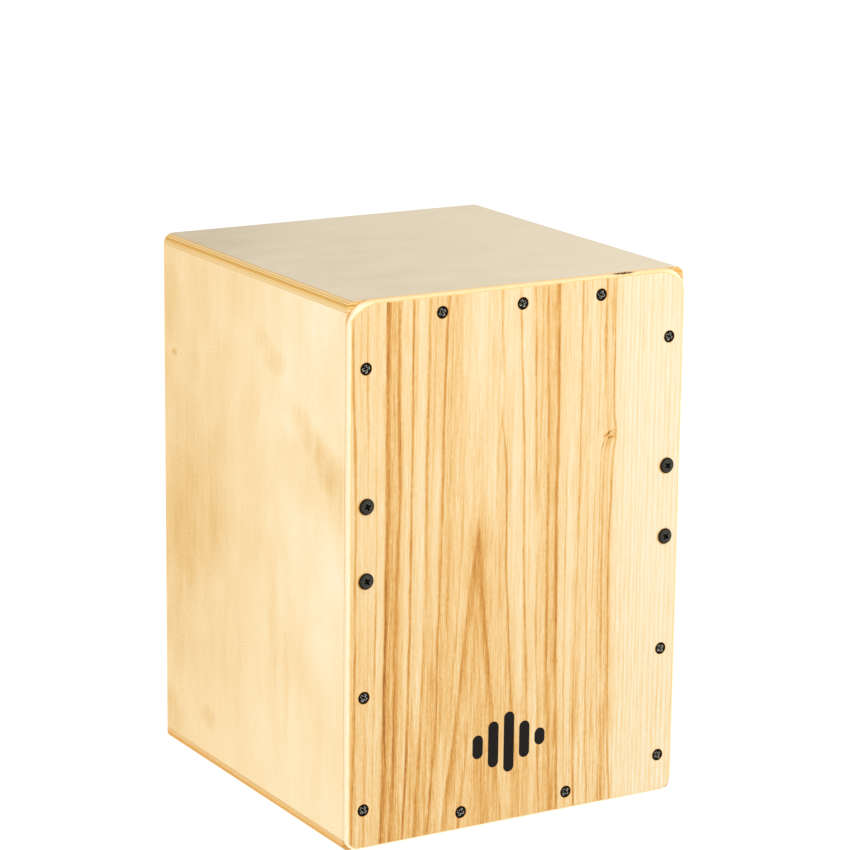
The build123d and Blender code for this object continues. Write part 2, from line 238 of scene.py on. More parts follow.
def surface(shader, colour, roughness, height, depth_mm):
    """Gives a shader its colour, its roughness, and a bump that is depth_mm deep for height 1."""
    feed(shader.inputs["Base Color"], colour)
    feed(shader.inputs["Roughness"], roughness)
    node = height.tree.nodes.new("ShaderNodeBump")
    node.inputs["Strength"].default_value = 1.0
    node.inputs["Distance"].default_value = depth_mm * MM
    feed(node.inputs["Height"], height)
    height.tree.links.new(node.outputs[0], shader.inputs["Normal"])


# ---- the striking plate's ash veneer ----
# Growth lines, each followed up the plate: (height, place across) points, how soft its left
# and right sides are, and (height, darkness in percent) points or one darkness.
GROWTH_LINES = (
    (((0, -136), (60, -134.6), (130, -133.8), (240, -133.5), (300, -134.5), (345, -136), (400, -136.3)),
     1.8, 1.8, ((0, 35), (80, 42), (120, 52), (160, 40), (230, 40), (290, 62), (380, 60), (392, 20))),
    (((0, -130), (400, -129.8)), 1.5, 1.5, ((0, 0), (320, 5), (350, 20), (400, 25))),
    (((0, -126), (60, -125), (200, -123.6), (300, -123.8), (345, -124.8), (400, -125)), 1.2, 1.2, ((0, 25),
     (60, 12), (240, 14), (320, 42), (390, 20))),
    (((0, -120), (100, -118.2), (200, -117.1), (240, -116.8), (300, -117.8), (400, -117.5)), 1, 1.3,
     ((0, 6), (70, 12), (120, 36), (270, 36), (310, 12), (400, 8))),
    (((0, -112.6), (60, -110.6), (130, -109.8), (240, -108.6), (320, -109.2), (370, -108.8), (400, -109.2)),
     1.5, 3.8, 80),
    (((0, -108.4), (100, -106), (200, -104.8), (300, -103), (400, -103.4)), 0.9, 0.9, ((0, 16), (150, 20),
     (230, 10), (330, 24), (400, 10))),
    (((0, -104.4), (60, -102), (160, -100.8), (215, -99.2), (270, -98), (325, -99.2), (400, -99.5)), 2, 2.4,
     50),
    (((0, -94.4), (60, -91.2), (130, -90), (215, -89), (300, -88.5), (400, -88.2)), 1.3, 2, 66),
    (((0, -88), (400, -84.6)), 1.2, 1.2, ((0, 20), (60, 25), (120, 5), (300, 3), (350, 18), (400, 16))),
    (((0, -84.6), (60, -81.2), (100, -79), (160, -77.5), (300, -76.5), (400, -75.4)), 1.5, 2.6, 45),
    (((0, -76), (100, -74), (300, -71.6), (400, -69)), 1.3, 1.3, ((0, 10), (60, 12), (100, 24), (150, 5),
     (280, 5), (330, 26), (400, 26))),
    (((0, -73.4), (60, -68.5), (100, -66.8), (160, -65.5), (215, -63.8), (345, -62), (370, -60.9),
     (400, -59)), 2.2, 1.3, ((0, 60), (100, 42), (200, 50), (300, 55), (350, 72), (400, 50))),
    (((0, -67), (60, -65), (100, -62.4), (160, -59.5), (215, -57.3), (345, -57), (400, -55)), 1.2, 1.2,
     ((0, 0), (60, 10), (120, 22), (300, 20), (400, 12))),
    (((0, -66), (60, -59), (100, -54.8), (130, -52.8), (160, -50.2), (190, -48.5), (240, -46.8),
     (400, -45.5)), 1.2, 2.2, ((0, 10), (60, 15), (110, 30), (215, 32), (280, 12), (330, 0), (400, 0))),
    # the broad cathedral: two legs that meet at its peak, and a fainter pair inside
    (((0, -61.5), (30, -58), (60, -53.5), (130, -45.5), (160, -42.2), (190, -38.4), (208, -35.6),
     (224, -33.4)), 1.2, 6, ((0, 50), (100, 42), (150, 38), (200, 38), (220, 24), (236, 0))),
    (((0, -10.5), (60, -16.8), (130, -23.8), (160, -26.8), (190, -29.8), (215, -31.4), (224, -32.6)),
     6, 1.2, ((0, 28), (100, 38), (150, 46), (200, 38), (220, 24), (236, 0))),
    (((0, -48), (60, -42), (130, -36.6), (168, -35)), 0.9, 3, ((0, 36), (90, 20), (150, 20), (172, 0))),
    (((0, -26), (60, -28.5), (130, -31.4), (168, -34.6)), 3, 0.9, ((0, 30), (90, 16), (150, 16), (172, 0))),
    # the narrow cathedral beside it
    (((0, 4), (30, 2.6), (60, -0.4), (100, -3.8), (130, -5.8), (160, -7.8), (190, -9.4), (240, -10.2),
     (270, -11), (288, -12.4), (302, -14.6)), 1.8, 0.9, ((0, 20), (60, 22), (110, 50), (200, 66), (285, 62),
     (300, 25), (315, 0))),
    (((0, -30), (100, -24), (190, -21.2), (240, -19.4), (275, -18.8), (292, -17.2), (302, -15.4)), 0.9, 2.4,
     ((0, 0), (150, 6), (220, 14), (280, 22), (298, 20), (315, 0))),
    (((0, -15.5), (400, -15.4)), 1.4, 1.8, ((0, 0), (140, 10), (190, 30), (230, 12), (300, 0))),
    (((0, -13), (320, -13), (345, -14.2), (370, -16.2), (400, -16.2)), 1.8, 1.8, ((0, 0), (300, 0),
     (330, 12), (365, 32), (400, 36))),
    (((0, 11.4), (60, 10.2), (130, 7.8), (160, 6.5), (190, 5.2), (240, 4.5), (300, 3.1), (345, 1),
     (400, -1.8)), 1.5, 1.3, ((0, 16), (50, 20), (110, 52), (300, 60), (345, 50), (400, 30))),
    (((0, 12), (215, 9.2), (400, 6)), 1, 1, ((0, 0), (150, 4), (210, 18), (260, 5), (400, 0))),
    (((0, 22), (225, 16.2), (255, 15), (300, 13.8), (345, 12.5), (400, 11.1)), 1.6, 1.2, ((0, 0), (222, 0),
     (236, 30), (320, 42), (400, 40))),
    (((0, 22), (60, 19.5), (100, 18), (130, 16.6), (160, 16), (220, 17), (400, 17.6)), 0.9, 1.8, ((0, 50),
     (150, 50), (190, 28), (230, 8), (330, 10), (400, 20))),
    (((0, 30.4), (60, 28.2), (100, 26.8), (160, 25), (215, 24.7), (270, 24.5), (345, 22.6), (400, 21.4)),
     1.6, 1.8, 48),
    (((0, 37.4), (60, 36), (130, 33.9), (215, 33), (300, 32.7), (400, 31.5)), 3.4, 1.3, ((0, 40), (60, 50),
     (130, 66), (400, 70))),
    (((0, 43.8), (60, 42), (130, 40.5), (240, 40.2), (300, 40.2), (400, 39.6)), 0.9, 1.1, ((0, 34),
     (60, 20), (150, 46), (220, 52), (270, 24), (310, 5), (400, 3))),
    (((0, 47), (215, 46), (400, 43.8)), 1.2, 1.2, ((0, 6), (300, 8), (340, 18), (400, 12))),
    (((0, 51.4), (60, 49.6), (100, 49), (190, 50.6), (300, 51.7), (400, 50.7)), 1, 1.6, ((0, 66), (70, 46),
     (150, 20), (230, 42), (400, 48))),
    (((0, 57.2), (60, 54.8), (200, 54), (400, 54.4)), 1, 1, ((0, 30), (70, 26), (130, 4), (300, 8),
     (400, 20))),
    (((0, 63.5), (60, 61), (130, 59.8), (240, 58.5), (300, 59.1), (345, 58.1), (400, 58.5)), 1.1, 1.3,
     ((0, 46), (60, 30), (130, 32), (240, 22), (400, 30))),
    (((0, 69.6), (60, 67), (130, 64.6), (240, 65), (300, 66.1), (400, 65.8)), 1.2, 1.2, 17),
    (((0, 73.6), (60, 71), (160, 69.2), (262, 69.2), (274, 70.4), (282, 74)), 0.9, 0.9, ((0, 34), (150, 34),
     (270, 34), (280, 20), (288, 0), (400, 0))),
    (((0, 76.2), (60, 74.2), (130, 72.5), (215, 71.8), (270, 72.2), (280, 75), (290, 73.8), (310, 72),
     (400, 71.1)), 1.6, 1.8, ((0, 62), (60, 40), (200, 42), (270, 34), (290, 10), (330, 30), (370, 56),
     (400, 45))),
    (((0, 80), (60, 77), (130, 75.9), (260, 75.3), (272, 76), (282, 78.4)), 0.9, 0.9, ((0, 30), (120, 24),
     (200, 18), (272, 20), (284, 0), (400, 0))),
    (((0, 77), (400, 77.2)), 1.1, 1.1, ((0, 0), (335, 0), (358, 38), (400, 45))),
    (((0, 84), (30, 81.9), (60, 80.5), (130, 79), (190, 78.1), (240, 79.3), (265, 80), (282, 82.2),
     (300, 80.3), (345, 79.3), (400, 79.6)), 1.9, 0.8, ((0, 55), (200, 56), (280, 50), (330, 66),
     (400, 40))),
)

# How deep the veneer's tone is between the lines at some heights: (place across, percent) points.
TONES = (
    (30, ((-140, 50), (-134, 32), (-126, 30), (-117, 20), (-110, 46), (-98, 54), (-92, 30), (-86, 38),
     (-80, 46), (-74, 42), (-68, 38), (-60, 20), (-52, 42), (-44, 32), (-38, 36), (-29, 52), (-16, 34),
     (-9, 22), (2, 42), (10, 36), (14, 24), (22, 32), (34, 50), (40, 16), (50, 18), (60, 12), (70, 20),
     (78, 26), (86, -2), (100, -6), (140, -8))),
    (110, ((-140, 40), (-130, 28), (-124, 26), (-114, 18), (-108, 46), (-102, 50), (-97, 44), (-92, 14),
     (-87, 26), (-82, 10), (-76, 28), (-71, 46), (-66, 42), (-60, 38), (-52, 28), (-45, 34), (-40, 38),
     (-32, 30), (-26, 36), (-20, 34), (-14, 30), (-8, 36), (-3, 36), (2, 10), (8, 30), (14, 14), (20, 18),
     (27, 44), (34, 20), (38, 16), (45, 4), (51, 28), (58, 12), (66, 14), (74, 14), (80, 26), (85, 0),
     (100, -8), (140, -10))),
    (200, ((-140, 24), (-130, 18), (-121, 12), (-114, 12), (-108, 36), (-102, 46), (-98, 38), (-94, 16),
     (-87, 20), (-80, 4), (-74, 24), (-69, 14), (-64, 32), (-59, 40), (-53, 24), (-46, 18), (-40, 38),
     (-35, 46), (-29, 48), (-24, 34), (-18, 24), (-12, 24), (-8, 12), (0, 8), (6, 10), (11, 6), (17, 16),
     (24, 30), (30, 36), (35, 20), (44, 2), (51, 20), (58, 6), (66, 12), (72, 10), (79, 24), (83, -2),
     (95, -10), (140, -14))),
    (260, ((-140, 20), (-130, 10), (-121, 12), (-114, 12), (-108, 36), (-102, 44), (-94, 16), (-87, 14),
     (-80, 10), (-74, 26), (-68, 12), (-63, 18), (-58, 36), (-52, 30), (-46, 18), (-38, 22), (-30, 22),
     (-22, 6), (-16, 20), (-10, 28), (-4, 6), (0, 8), (6, 6), (12, 12), (17, 20), (24, 30), (29, 30),
     (33, 12), (38, 14), (44, 0), (51, 12), (58, 6), (66, 15), (72, 16), (79, 10), (83, -4), (95, -12),
     (140, -14))),
    (350, ((-140, 16), (-133, 12), (-127, 16), (-114, 12), (-108, 30), (-101, 38), (-94, 12), (-88, 20),
     (-82, 6), (-74, 22), (-66, 24), (-59, 26), (-53, 28), (-47, 20), (-40, 4), (-30, 2), (-25, 12),
     (-19, 14), (-13, 6), (-4, 6), (3, 4), (8, 6), (14, 24), (21, 24), (29, 34), (35, 18), (40, 12),
     (46, 2), (52, 12), (58, 4), (64, 2), (71, 12), (77, 16), (82, 0), (90, -12), (140, -14))),
)
SAPWOOD_LINES = (85, 88.8, 92.8, 96.3, 100.3, 103.3, 106.3, 110.6, 115.3, 119.8, 124, 127.8, 132.4, 136.8)
SAPWOOD_DARK = 0.22
HEARTWOOD_EDGE = 82.0
LINE_SPREAD = 1.12
WANDERS = ((14, 70, 2.2, 1.0), (3, 22, 1.0, 2.0), (0.8, 8, 0.6, 14.0))    # reach, reach up, amount, seed
KNOTS = ((76.0, 282.0, 3.4), (71.5, 40.0, 2.0))     # across, height, reach
VENEER_COLOURS = (
    (-0.15, (255, 242, 210)), (0.0, (255, 233, 189)), (0.25, (252, 217, 159)), (0.5, (245, 200, 132)),
    (0.75, (234, 179, 104)), (1.0, (219, 157, 83)), (1.3, (192, 129, 65)), (1.7, (146, 94, 46)),
)



def growth_line(across, up, points, left, right, darkness):
    """How dark one growth line makes a point of the veneer."""
    offset = across - curve(up, points)
    band = smooth(offset, -left * LINE_SPREAD, 0.0) * smooth(offset, right * LINE_SPREAD, 0.0)
    if isinstance(darkness, tuple):
        return band * curve(up, darkness, PERCENT)
    return band * (darkness / PERCENT)


def ash_veneer(across, up):
    """How deep the ash veneer's tone is at a point, from about -0.1 to 1.5, and its pores."""
    for reach, reach_up, amount, seed in WANDERS:
        across = across + swing(across / reach, up / reach_up, seed=seed) * amount
    for knot_across, knot_up, reach in KNOTS:
        aside = (across - knot_across) / reach
        above = (up - knot_up) / (1.6 * reach)
        pull = (aside * aside + above * above + 1.0).math("POWER", -1.0)
        across = across - pull * smooth(aside, 1.5, -1.5) * reach * 0.5

    below, points = TONES[0]
    tone = curve(across, points, PERCENT)
    for height, points in TONES[1:]:
        tone = lerp(smooth(up, below, height), tone, curve(across, points, PERCENT))
        below = height

    # each line is stronger in some stretches than in others
    lines = reduce(Wire.__add__, (growth_line(across, up, *row) for row in GROWTH_LINES))
    lines = lines * (noise(across / 5, up / 55, seed=3.0) * 0.9 + 0.55)

    sapwood = smooth(across, HEARTWOOD_EDGE - 0.8, HEARTWOOD_EDGE + 0.8)
    sap_points = [(HEARTWOOD_EDGE, 0.0)]
    for place in SAPWOOD_LINES:
        sap_points += [(place - 1.1, 0.0), (place, SAPWOOD_DARK), (place + 0.7, 0.02)]
    sap_points.append((HALF_WIDTH_MM, 0.0))
    sap_lines = curve(across, sap_points) * sapwood

    # fibres run up the plate: broad ones, fine ones, and the short dark pores of ash
    broad = swing(across / 2.4, up / 110, detail=3.0, seed=4.0)
    fine = swing(across, up / 26, detail=3.0, roughness=0.7, seed=5.0)
    short = swing(across / 0.8, up / 3.5, detail=1.0, seed=15.0)
    pores = smooth(noise(across / 0.6, up / 5, detail=1.0, seed=6.0), 0.58, 0.74)
    cloud = swing(across / 40, up / 60, seed=7.0)
    depth = tone * 1.15 + lines * 1.12

    # they are coarser in dark wood, low on the plate and where the lines crowd
    coarseness = lerp(sapwood, depth * 0.9 + 0.4, 0.44)
    crowded = smooth(across, 42, 50) * smooth(across, 82, 77)
    coarseness = coarseness + smooth(up, 150, 60) * 0.14 + crowded * 0.1
    grain = (broad * 1.15 + fine * 2.0 + short * 0.6) * coarseness
    thin_lines = smooth(noise(across / 1.2, up / 170, detail=1.0, seed=16.0), 0.54, 0.64)
    depth = depth + thin_lines * (crowded * 0.2 + smooth(up, 130, 60) * 0.1 - 0.02)
    depth = depth + sap_lines + grain + cloud * 0.1 + 0.04
    depth = depth + pores * smooth(depth, 0.1, 0.9) * 0.34
    return depth - smooth(depth, 0.7, 1.5) * 0.22, pores


# at the upper knot: the middle of its arcs, their half sizes, and its bark marks
ARCS_OFFSET = (5.0, -13.0)
ARCS = ((6.0, 11.0), (8.4, 13.6), (11.0, 16.0))
BARK_MARKS = ((-1.6, 0.8, 4.0, 0.85, 0.6), (1.4, -2.0, 2.6, 0.75, 0.25))    # place, half sizes, tilt


def knot_marks(across, up):
    """The upper knot: fibres that swing round it in arcs, and two small dark bark marks."""
    x = across - KNOTS[0][0]
    z = up - KNOTS[0][1]
    bend_x, bend_z = x - ARCS_OFFSET[0], z - ARCS_OFFSET[1]
    marks = []
    for half_across, half_up in ARCS:
        out = ((bend_x * bend_x) / half_across ** 2 + (bend_z * bend_z) / half_up ** 2).math("SQRT")
        arc = smooth(((out - 1.0) * half_across).math("ABSOLUTE"), 0.9, 0.1)
        marks.append(arc * smooth(bend_x, 2.0, -1.0) * smooth(bend_z, 1.0, 7.0) * 0.55)
    for aside, above, half_long, half_wide, tilt in BARK_MARKS:
        along = ((x - aside) * math.cos(tilt) + (z - above) * math.sin(tilt)) / half_long
        beside = ((z - above) * math.cos(tilt) - (x - aside) * math.sin(tilt)) / half_wide
        marks.append(smooth(along * along + beside * beside, 1.4, 0.2))
    return reduce(Wire.__add__, marks)


# ---- the printed mark: five plain rounded bars, like a level meter ----
MARK_MIDDLE = (-5.0, 61.5)                 # across, height
MARK_BAR_HALF_WIDTH = 4.4
MARK_PITCH = 13.2
MARK_HALF_HEIGHTS = (9.0, 17.5, 23.0, 14.0, 6.5)
MARK_BLUR = 0.12


def printed_mark(across, up):
    """1 where the plate is printed and 0 where it is bare."""
    nearest = None
    for index, half_height in enumerate(MARK_HALF_HEIGHTS):
        middle = MARK_MIDDLE[0] + (index - (len(MARK_HALF_HEIGHTS) - 1) / 2) * MARK_PITCH
        aside = across - middle
        above = (up - MARK_MIDDLE[1]).math("ABSOLUTE") - (half_height - MARK_BAR_HALF_WIDTH)
        above = above.math("MAXIMUM", 0.0)
        distance = (aside * aside + above * above).math("SQRT")
        nearest = distance if nearest is None else nearest.math("MINIMUM", distance)
    return smooth(nearest, MARK_BAR_HALF_WIDTH + MARK_BLUR, MARK_BAR_HALF_WIDTH - MARK_BLUR)


def solids(node):
    """The lowest and highest corner of each separate solid in a CAD node."""
    mesh = bmesh.new()
    mesh.from_mesh(nodes[node].data)
    bmesh.ops.remove_doubles(mesh, verts=mesh.verts, dist=0.001 * MM)
    waiting = set(mesh.verts)
    found = []
    while waiting:
        group = [waiting.pop()]
        for vert in group:
            for edge in vert.link_edges:
                other = edge.other_vert(vert)
                if other in waiting:
                    waiting.remove(other)
                    group.append(other)
        corners = [tuple(pick(vert.co[axis] for vert in group) for axis in range(3)) for pick in (min, max)]
        found.append(tuple(Vector(corner) for corner in corners))
    mesh.free()
    return sorted(found, key=lambda corners: tuple(round(part, 5) for part in corners[0]))


def crush_and_shade_rings(across, up, node, reach, shift=0.0):
    """The thin darker ring round each screw head of a node: crushed wood with painted shade of the gap round
    a head; set off sideways by shift, it is a painted shadow.
    """
    rings = None
    for low, high in solids(node):
        x = across - ((low.x + high.x) / 2 / MM + shift)
        z = up - ((low.z + high.z) / 2 - BASE_Z) / MM
        beyond = (x * x + z * z).math("SQRT") - (high.x - low.x) / 2 / MM
        ring = smooth(beyond, reach, 0.0)
        rings = ring if rings is None else rings.math("MAXIMUM", ring)
    return rings


# The plate's rim is sanded through the face veneer, most of all at its two slap corners.
SLAP_CORNER_MIDDLE = (116.0, 372.0)        # across from the middle of the plate, height
SLAP_CORNER_RADIUS = 25.2
SIDE_RIM = 136.9
VENEER_DEPTH = 0.48
SANDED_SLOPE = 0.35
SANDED_DEPTH = 0.85


def sanded_rim(across, up):
    """How far into the plies the rim of the plate is sanded."""
    out = across.math("ABSOLUTE")
    x = (out - SLAP_CORNER_MIDDLE[0]).math("MAXIMUM", 0.0)
    z = (up - SLAP_CORNER_MIDDLE[1]).math("MAXIMUM", 0.0)
    beyond = ((x * x + z * z).math("SQRT") - SLAP_CORNER_RADIUS).math("MAXIMUM", out - SIDE_RIM)
    return (beyond * SANDED_SLOPE + VENEER_DEPTH).math("MINIMUM", SANDED_DEPTH).math("MAXIMUM", 0.0)


# by millimetres from the face: the face veneer's edge, glue, a thick core, glue, the inner veneer; their
# pale cream on the rounded rim is partly a painted highlight
CORE_COLOURS = (
    (0.0, (255, 238, 200)), (0.48, (255, 236, 196)), (0.56, (236, 186, 116)), (0.68, (250, 216, 158)),
    (0.9, (255, 243, 212)), (2.1, (255, 241, 208)), (2.45, (248, 222, 174)), (2.8, (255, 240, 206)),
    (3.6, (254, 232, 190)), (3.9, (240, 200, 142)), (4.05, (250, 220, 168)), (PLATE_MM, (246, 212, 158)),
)
# the inner veneer, made light where it shows in the groove by the body: partly painted light against the
# groove's shade
BACK_COLOURS = ((0.25, (222, 178, 130)), (0.5, (236, 198, 150)), (0.75, (244, 212, 168)))
CORE_TINT = (0.85, 0.6, 0.3)
TOP_EDGE_TINT = (0.92, 0.77, 0.56)
# a gap in the core that opens at the plate's top edge: its place, its half sizes and its colour
VOID_ACROSS, VOID_IN = 86.0, 2.1
VOID_HALF_LENGTH, VOID_HALF_DEPTH = 10.0, 1.25
VOID_COLOUR = (88, 42, 6)
INK_COLOUR = (20, 16, 12)


def front_plate_material():
    material, tree, shader = new_material("ash_front_plate")
    across, inward, up = box_axes(tree)
    depth, pores = ash_veneer(across, up)
    depth = depth + knot_marks(across, up) * 0.75
    # painted shade: a dark ring round each countersunk plate screw, the shade of the gap round its head
    # together with crushed wood at the countersink's edge
    depth = depth + crush_and_shade_rings(across, up, "front_plate_screws", 0.5) * 0.9
    # painted shadow: a ring set off to the left of each truss head stands for the shadow that the domed head
    # casts
    depth = depth + crush_and_shade_rings(across, up, "snare_block_screws", 0.9, -0.6) * 0.75
    veneer = ramp(depth, VENEER_COLOURS, FRONT_SEEN)

    wobble = swing(across / 9, inward / 2, up / 9, seed=8.0) * 0.3
    layer = inward.math("MAXIMUM", sanded_rim(across, up)) + wobble
    core = ramp(layer, CORE_COLOURS)
    end_grain = swing(across / 1.1, inward / 0.5, up / 1.1, detail=3.0, seed=9.0)
    core = mix(end_grain * 1.2, core, CORE_TINT, "MULTIPLY")
    core = mix(smooth(up, 396.0, 399.2), core, TOP_EDGE_TINT, "MULTIPLY")
    void_along = (across - VOID_ACROSS) / VOID_HALF_LENGTH
    void_in = (layer - VOID_IN) / VOID_HALF_DEPTH
    void = smooth(void_along * void_along + void_in * void_in, 1.3, 0.3) * smooth(up, 398.0, 399.0)
    void = void * smooth(noise(across / 2.2, inward / 0.8, detail=3.0, seed=10.0), 0.34, 0.5)
    core = mix(void, core, linear(VOID_COLOUR))
    inside = noise(across / 1.2, 0.0, up / 60, detail=4.0, seed=11.0)
    wood = mix(smooth(layer, 0.44, 0.52), veneer, core)
    wood = mix(smooth(layer, PLATE_MM - 0.45, PLATE_MM - 0.3), wood, ramp(inside, BACK_COLOURS))

    on_face = smooth(inward, 0.12, 0.02)
    ink_wear = smooth(noise(across / 0.5, up / 9, seed=12.0), 0.7, 0.86)
    ink = printed_mark(across, up) * on_face * (ink_wear * -0.25 + 1.0)
    sheen = noise(across / 1.4, inward, up / 50, seed=13.0)
    feed(shader.inputs["Specular IOR Level"], ink * -0.35 + void * -0.45 + 0.5)
    roughness = sheen * 0.14 + 0.42 + pores * 0.1 + ink * 0.12
    relief = sheen * 0.6 - pores * 0.7 + ink * 0.35
    surface(shader, mix(ink, wood, linear(INK_COLOUR)), roughness, relief, 0.05)
    return material


# ---- birch plywood panels ----
BIRCH_COLOURS = (
    (-0.35, (255, 246, 222)), (0.0, (255, 237, 198)), (0.35, (253, 226, 178)), (0.7, (246, 213, 157)),
    (1.1, (235, 193, 128)), (1.6, (214, 163, 92)),
)
# the top's face: greyer than the birch of the sides, partly a painted sheen of its lacquer seen at a low
# angle
TOP_COLOURS = (
    (-0.35, (238, 226, 203)), (0.0, (232, 219, 194)), (0.35, (229, 216, 190)), (0.7, (223, 210, 184)),
    (1.1, (213, 199, 172)), (1.6, (198, 182, 152)),
)
# the cut edges, by millimetres from the outer face: plies, with dark glue lines between
EDGE_COLOURS = (
    (0.0, (250, 226, 180)), (0.46, (248, 220, 172)), (0.55, (222, 174, 112)), (0.72, (226, 180, 118)),
    (0.84, (246, 216, 162)), (1.6, (244, 212, 158)), (1.74, (226, 178, 112)), (1.98, (230, 184, 118)),
    (2.1, (253, 220, 158)), (2.9, (250, 214, 150)), (3.0, (206, 150, 82)), (3.26, (212, 160, 92)),
    (3.38, (242, 198, 128)), (3.9, (238, 192, 120)), (4.0, (204, 148, 80)), (4.22, (210, 156, 88)),
    (4.36, (253, 218, 152)), (5.3, (250, 212, 146)), (5.42, (232, 186, 120)), (5.56, (236, 192, 128)),
    (5.7, (248, 220, 168)), (6.6, (246, 216, 162)), (6.74, (232, 190, 128)), (6.88, (236, 196, 134)),
    (7.02, (255, 232, 182)), (7.64, (253, 226, 174)), (7.76, (208, 156, 94)), (7.92, (214, 164, 102)),
    (8.04, (250, 222, 170)), (8.3, (248, 218, 166)),
)
EDGE_TINT = (0.86, 0.6, 0.3)
FRONT_END_TINT = (0.62, 0.5, 0.38)
GAP_COLOUR = (84, 48, 24)


def patches(a, b, spots):
    """Soft stains, pale places and painted shade on a veneer: (a, b, half width, half height, tone) each."""
    found = []
    for at_a, at_b, half_a, half_b, tone in spots:
        off_a = (a - at_a) / half_a
        off_b = (b - at_b) / half_b
        found.append(smooth(off_a * off_a + off_b * off_b, 1.6, 0.0) * tone)
    return reduce(Wire.__add__, found)


def plywood_material(name, along, across, inward, seed, drifts_and_shade=(), spots=(), shade=0.0,
                     colours=BIRCH_COLOURS, seen=SIDE_SEEN, thin=1.0, edge_brown=(0.0, 0.3), gloss=0.5):
    """Clear-lacquered birch plywood. along and across name the axes that the face grain runs
    along and lies across, and inward tells the depth below the outer face. thin above 1 makes
    the plies thinner, and edge_brown says how brown the edges are at the front and at the back."""
    material, tree, shader = new_material(name)
    place = dict(zip("xyz", box_axes(tree)))
    a, b, depth = place[along], place[across], inward(place)

    # face veneer: rotary-cut birch, with broad watery figure, clouds and fine fibres
    bent_a = a + swing(a / 70, b / 34, seed=seed) * 30
    bent_b = b + swing(a / 110, b / 26, seed=seed + 1) * 16
    figure = swing(bent_a / 260, bent_b / 9, detail=4.0, roughness=0.62, seed=seed + 2)
    cloud = swing(bent_a / 52, bent_b / 30, detail=3.0, seed=seed + 3)
    fine = swing(a / 40, b / 0.9, detail=3.0, roughness=0.6, seed=seed + 4)
    flecks = smooth(noise(a / 5, b / 0.6, detail=1.0, seed=seed + 5), 0.66, 0.8)
    ripple = swing(a / 1.3, b / 1.1, detail=1.0, seed=seed + 6)
    tone = figure * 0.3 + cloud * 0.7 + fine * 0.65 + flecks * 0.16 + ripple * 1.2 + (0.3 + shade)
    # slow drifts of tone; on the top, and broadly on the left side, they are painted shade
    if drifts_and_shade:
        tone = tone + patches(a, b, drifts_and_shade)
    if spots:
        rough_a = a + swing(a / 9, b / 7, detail=3.0, seed=seed + 7) * 16
        rough_b = b + swing(a / 9, b / 7, detail=3.0, seed=seed + 8) * 12
        tone = tone + patches(rough_a, rough_b, spots) * (figure * 1.4 + fine * 1.2 + 0.9)
    face = ramp(tone, colours, seen)

    # cut edges: the plies, their glue lines, end grain and a few dark voids
    x, y, z = place["x"], place["y"], place["z"]
    wobble = swing(x / 16, y / 16, z / 16, seed=seed + 9) * 0.4
    layer = (depth + wobble * smooth(depth, 0.0, 0.5)) * thin
    edge = ramp(layer, EDGE_COLOURS)
    drift = swing(x / 60, y / 60, layer / 1.15, detail=1.0, seed=seed + 10)
    end_grain = swing(x / 1.6, y / 1.6, z / 0.5, detail=4.0, roughness=0.7, seed=seed + 11)
    browning = smooth(y, 40.0, 300.0) * (edge_brown[1] - edge_brown[0]) + (edge_brown[0] - 0.14)
    edge = mix(drift * 0.9 + end_grain * 1.1 + browning, edge, EDGE_TINT, "MULTIPLY")
    bands = smooth(noise(x / 6, layer / 0.7, seed=seed + 13), 0.42, 0.6) * smooth(y, 6.0, 4.7)
    edge = mix(bands * 0.7, edge, FRONT_END_TINT, "MULTIPLY")
    voids = smooth(noise(x / 7, y / 7, layer / 0.8, detail=1.0, seed=seed + 12), 0.8, 0.84)
    edge = mix(voids * 0.75, edge, linear(GAP_COLOUR))

    shader.inputs["Specular IOR Level"].default_value = gloss
    relief = fine * 0.7 + ripple * 0.5 - flecks * 0.4 + end_grain * smooth(layer, 0.45, 0.6)
    colour = mix(smooth(layer, 0.45, 0.55), face, edge)
    surface(shader, colour, fine * 0.2 + cloud * 0.1 + 0.46, relief, 0.035)
    return material


# Places on a panel with a tone of their own, or with painted shade, as (place along the grain, place across
# it, half sizes, tone): slow drifts, some of them painted shade, then stains with a ragged outline.
# the first two are painted shade and light: darker towards the rear, lighter near the top at the front; the
# rest are the veneer's own drifts and a spot
LEFT_DRIFTS_AND_SHADE = (
    (150, 330, 420, 200, 0.3), (335, 0, 220, 120, -0.24), (205, 235, 84, 62, 0.18), (30, 150, 60, 160, -0.1),
    (300, 30, 60, 50, 0.1), (268, 60, 34, 38, 0.24), (262, 8, 28, 22, 0.14), (100, 66, 40, 30, 0.1),
    (312, 270.6, 2.6, 5.0, 0.5),
)
LEFT_STAINS = (
    (350, 128, 8, 14, 0.2), (337, 106, 9, 18, 0.28), (350, 280, 30, 26, 0.22), (304, 70, 8, 16, 0.2),
    (290, 50, 12, 18, 0.26), (276, 32, 18, 18, 0.3), (256, 12, 30, 22, 0.34), (295, 80, 12, 16, -0.2),
    (205, 235, 44, 42, 0.14), (165, 268, 44, 40, 0.22), (37, 217, 9, 12, 0.32), (128, 110, 44, 6, 0.2),
    (100, 92, 40, 6, 0.18), (130, 44, 26, 22, -0.14), (180, 24, 40, 28, -0.14), (20, 280, 24, 18, 0.3),
    (308, 240, 16, 12, 0.1), (235, 150, 60, 30, 0.08), (100, 274, 44, 20, 0.2),
)
# painted shade: the top is darker towards its left and rear, where less light falls
TOP_PAINTED_SHADE = ((-260, 150, 330, 400, 0.45), (-170, 330, 130, 150, 0.45))


def give(node, material):
    """Puts one material on a CAD node."""
    slots = nodes[node].data.materials
    slots.clear()
    slots.append(material)


